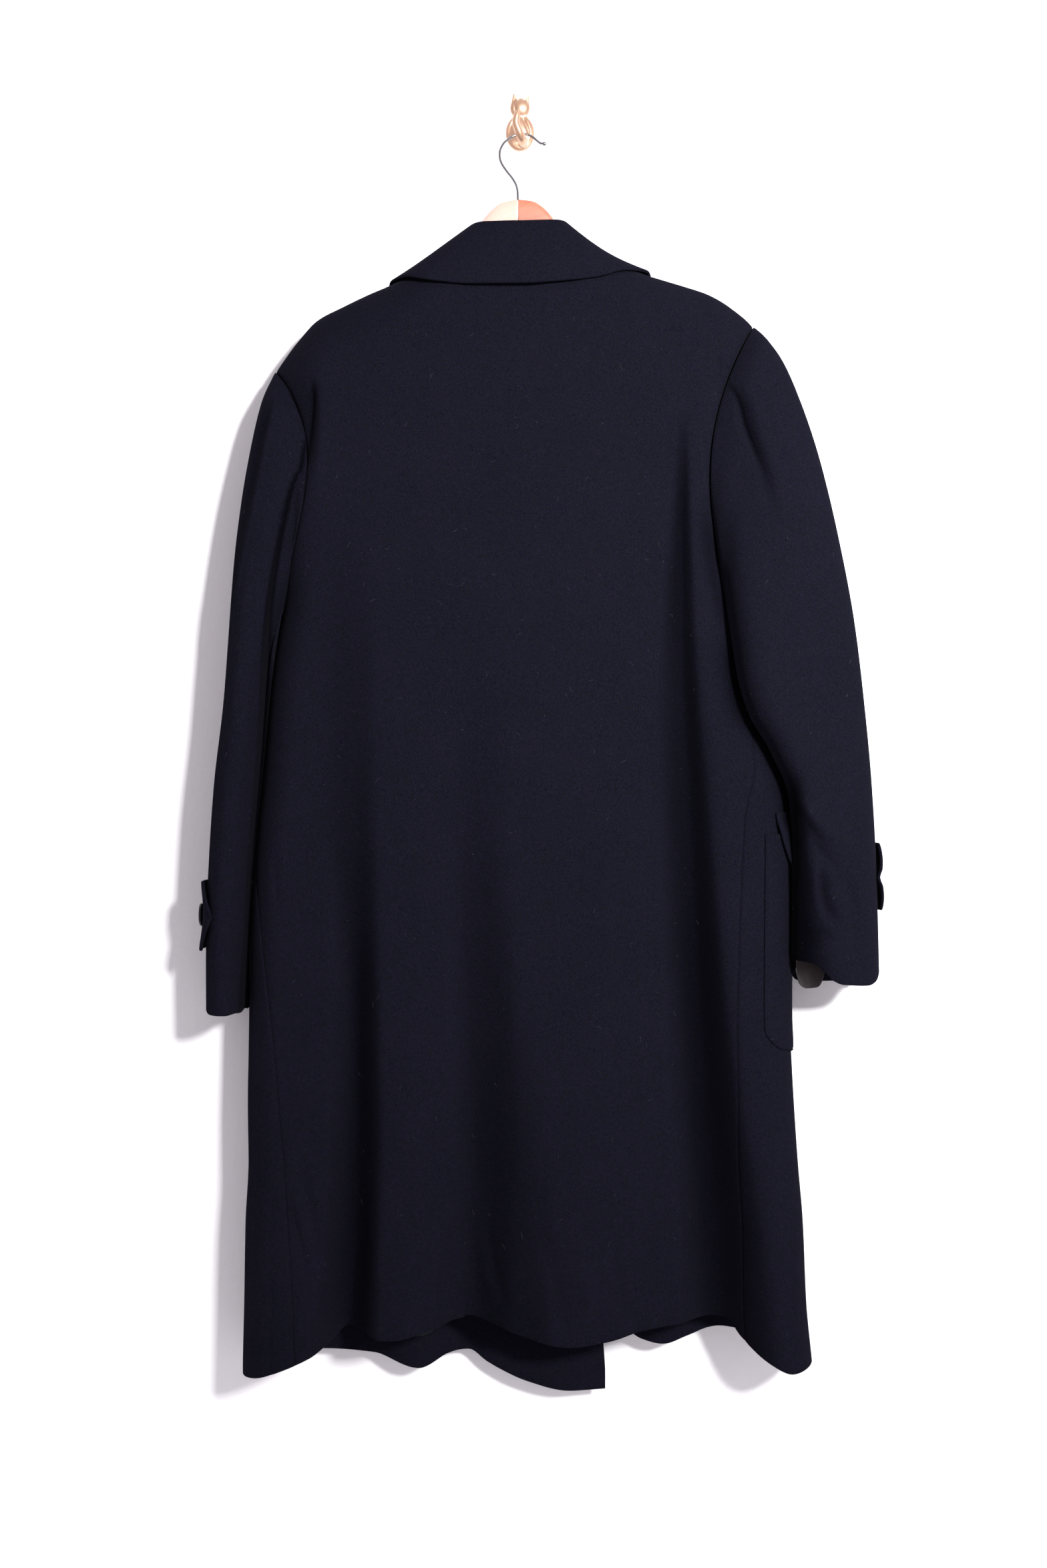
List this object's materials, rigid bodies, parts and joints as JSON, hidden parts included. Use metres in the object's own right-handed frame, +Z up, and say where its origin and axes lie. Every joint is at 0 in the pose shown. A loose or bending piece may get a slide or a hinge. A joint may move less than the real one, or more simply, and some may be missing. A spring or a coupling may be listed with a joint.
{
  "type": "wool coat on wall hook, with hanger",
  "caption": "Long wool overcoat seen from behind, hung open on a two-tone wooden hanger whose wire hangs on a small cat-shaped wall hook.",
  "frame": {"origin": "middle of the wall hook's flat back, on the wall", "axes": "+Y into the wall, +Z up, +X to the right as seen from the room"},
  "size_m": [0.694, 0.1322, 1.338],
  "materials": {
    "wool": "brushed wool, no shine",
    "lining": "dark satin",
    "button": "dark, half gloss",
    "pale_wood": "clear lacquer",
    "dark_wood": "clear lacquer",
    "steel": "bright wire",
    "copper": "satin copper plating"
  },
  "bodies": {
    "root": {"back": "wool", "left_front": "wool", "right_front": "wool", "left_sleeve": "wool", "right_sleeve": "wool", "collar": "wool", "left_lapel": "wool", "right_lapel": "wool", "left_pocket": "wool", "right_pocket": "wool", "left_flap": "wool", "right_flap": "wool", "left_front_lining": "lining", "right_front_lining": "lining", "left_cuff_tab": "wool", "right_cuff_tab": "wool", "left_cuff_button": "button", "right_cuff_button": "button", "front_button_1": "button", "front_button_2": "button", "front_button_3": "button", "left_hanger_half": "pale_wood", "right_hanger_half": "dark_wood", "hanger_wire": "steel", "wall_hook": "copper"}
  },
  "joints": []
}
